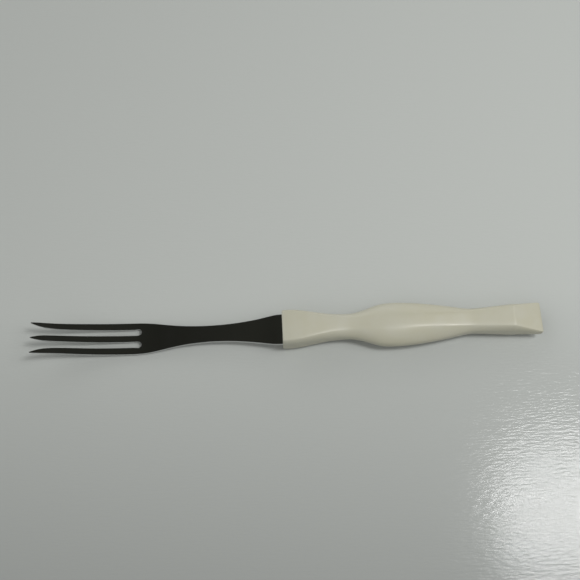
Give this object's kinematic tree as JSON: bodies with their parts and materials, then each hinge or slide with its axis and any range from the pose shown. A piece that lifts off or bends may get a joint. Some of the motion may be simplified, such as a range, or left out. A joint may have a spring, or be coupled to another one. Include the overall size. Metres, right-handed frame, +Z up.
{
  "type": "carving fork",
  "caption": "Carving fork with pointed upswept tines, a flat waisted steel shank and a contoured resin handle that flares at collar, palm and butt.",
  "frame": {"origin": "on the rest plane, under the middle of the whole length from tine tips to butt", "axes": "+X along the handle from the tine tips to the butt, +Y across the fork, +Z up out of the rest plane, the way the tines curve"},
  "size_m": [0.2842, 0.025, 0.0156],
  "materials": {
    "polished_steel": "mirror polished stainless steel with fine handling scratches",
    "cream_resin": "moulded cream resin, half gloss, slightly yellowed",
    "pin_metal": "plain drawn pin, hidden in the handle"
  },
  "bodies": {
    "root": {"fork": "polished_steel", "handle_upper_half": "cream_resin", "handle_lower_half": "cream_resin", "front_pin": "pin_metal", "middle_pin": "pin_metal", "rear_pin": "pin_metal"}
  },
  "joints": []
}
